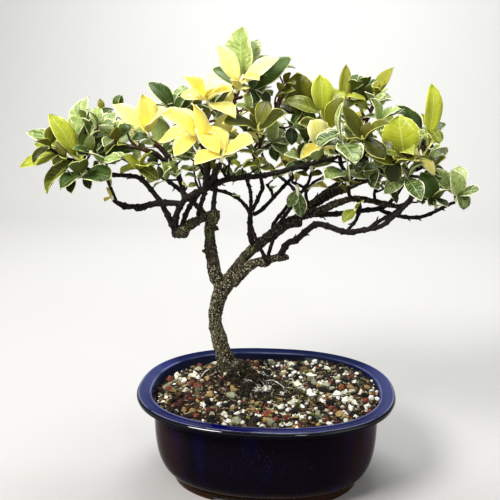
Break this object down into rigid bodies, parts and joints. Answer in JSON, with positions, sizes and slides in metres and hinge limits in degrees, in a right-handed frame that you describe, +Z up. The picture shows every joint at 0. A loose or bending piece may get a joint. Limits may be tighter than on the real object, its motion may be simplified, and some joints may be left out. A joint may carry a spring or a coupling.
{
  "type": "potted jasmine",
  "caption": "Small tree with a twisted trunk, an airy crown of variegated leaves and granular soil, in an oval glazed pot on arched feet.",
  "frame": {"origin": "on the table under the middle of the whole plant's box, so a little beside the middle of the pot", "axes": "+X is the viewer's right, along the pot's length, +Y points away from the viewer, and +Z is up"},
  "size_m": [0.3304, 0.191, 0.3505],
  "materials": {
    "glazed_clay": "gloss, cobalt on the rim, darker and browner on the body",
    "drain_netting": "matte",
    "grit": "matte, coarse granules of pumice, lava and baked clay",
    "bark": "matte bark with pale specks",
    "yellow_leaf": "satin, a living leaf",
    "lime_leaf": "satin, a living leaf",
    "olive_leaf": "satin, a living leaf",
    "green_leaf": "satin, a living leaf",
    "variegated_leaf": "satin, a living leaf"
  },
  "bodies": {
    "root": {"pot": "glazed_clay", "drain_mesh_left": "drain_netting", "drain_mesh_right": "drain_netting", "soil": "grit", "trunk_and_branches": "bark", "far_left_lime": "lime_leaf", "far_left_variegated": "variegated_leaf", "far_left_low": "green_leaf", "left_green": "green_leaf", "left_variegated": "variegated_leaf", "left_small": "lime_leaf", "left_small_low": "variegated_leaf", "yellow_left": "yellow_leaf", "green_pair": "green_leaf", "round_variegated": "variegated_leaf", "yellow_front": "yellow_leaf", "yellow_middle": "yellow_leaf", "pale_front": "yellow_leaf", "top_variegated": "variegated_leaf", "top_yellow": "yellow_leaf", "top_green": "green_leaf", "middle_olive": "olive_leaf", "round_olive": "olive_leaf", "right_top_lime": "lime_leaf", "slim_lime": "lime_leaf", "right_back_green": "green_leaf", "right_tall": "lime_leaf", "right_dark_variegated": "variegated_leaf", "inner_olive": "olive_leaf", "right_olive": "olive_leaf", "right_end_lime": "lime_leaf", "right_end_green": "green_leaf", "right_round": "lime_leaf", "right_low_olive": "olive_leaf", "middle_variegated": "variegated_leaf", "yellow_fold": "yellow_leaf", "inner_dark": "variegated_leaf", "inner_yellow": "yellow_leaf", "inner_pale": "variegated_leaf", "right_low_variegated": "variegated_leaf", "knot_variegated": "variegated_leaf", "right_end_yellow": "yellow_leaf", "right_end_olive": "olive_leaf", "right_hanging": "variegated_leaf", "far_right_low": "green_leaf", "far_right_leaves": "variegated_leaf", "hanging_small": "variegated_leaf", "low_yellow_green": "lime_leaf", "left_buds": "yellow_leaf", "rear_one": "green_leaf", "rear_two": "lime_leaf", "rear_three": "variegated_leaf", "rear_four": "olive_leaf", "rear_five": "yellow_leaf", "rear_six": "variegated_leaf", "rear_seven": "green_leaf", "rear_eight": "lime_leaf", "rear_nine": "variegated_leaf", "rear_ten": "green_leaf", "rear_eleven": "green_leaf"}
  },
  "joints": []
}
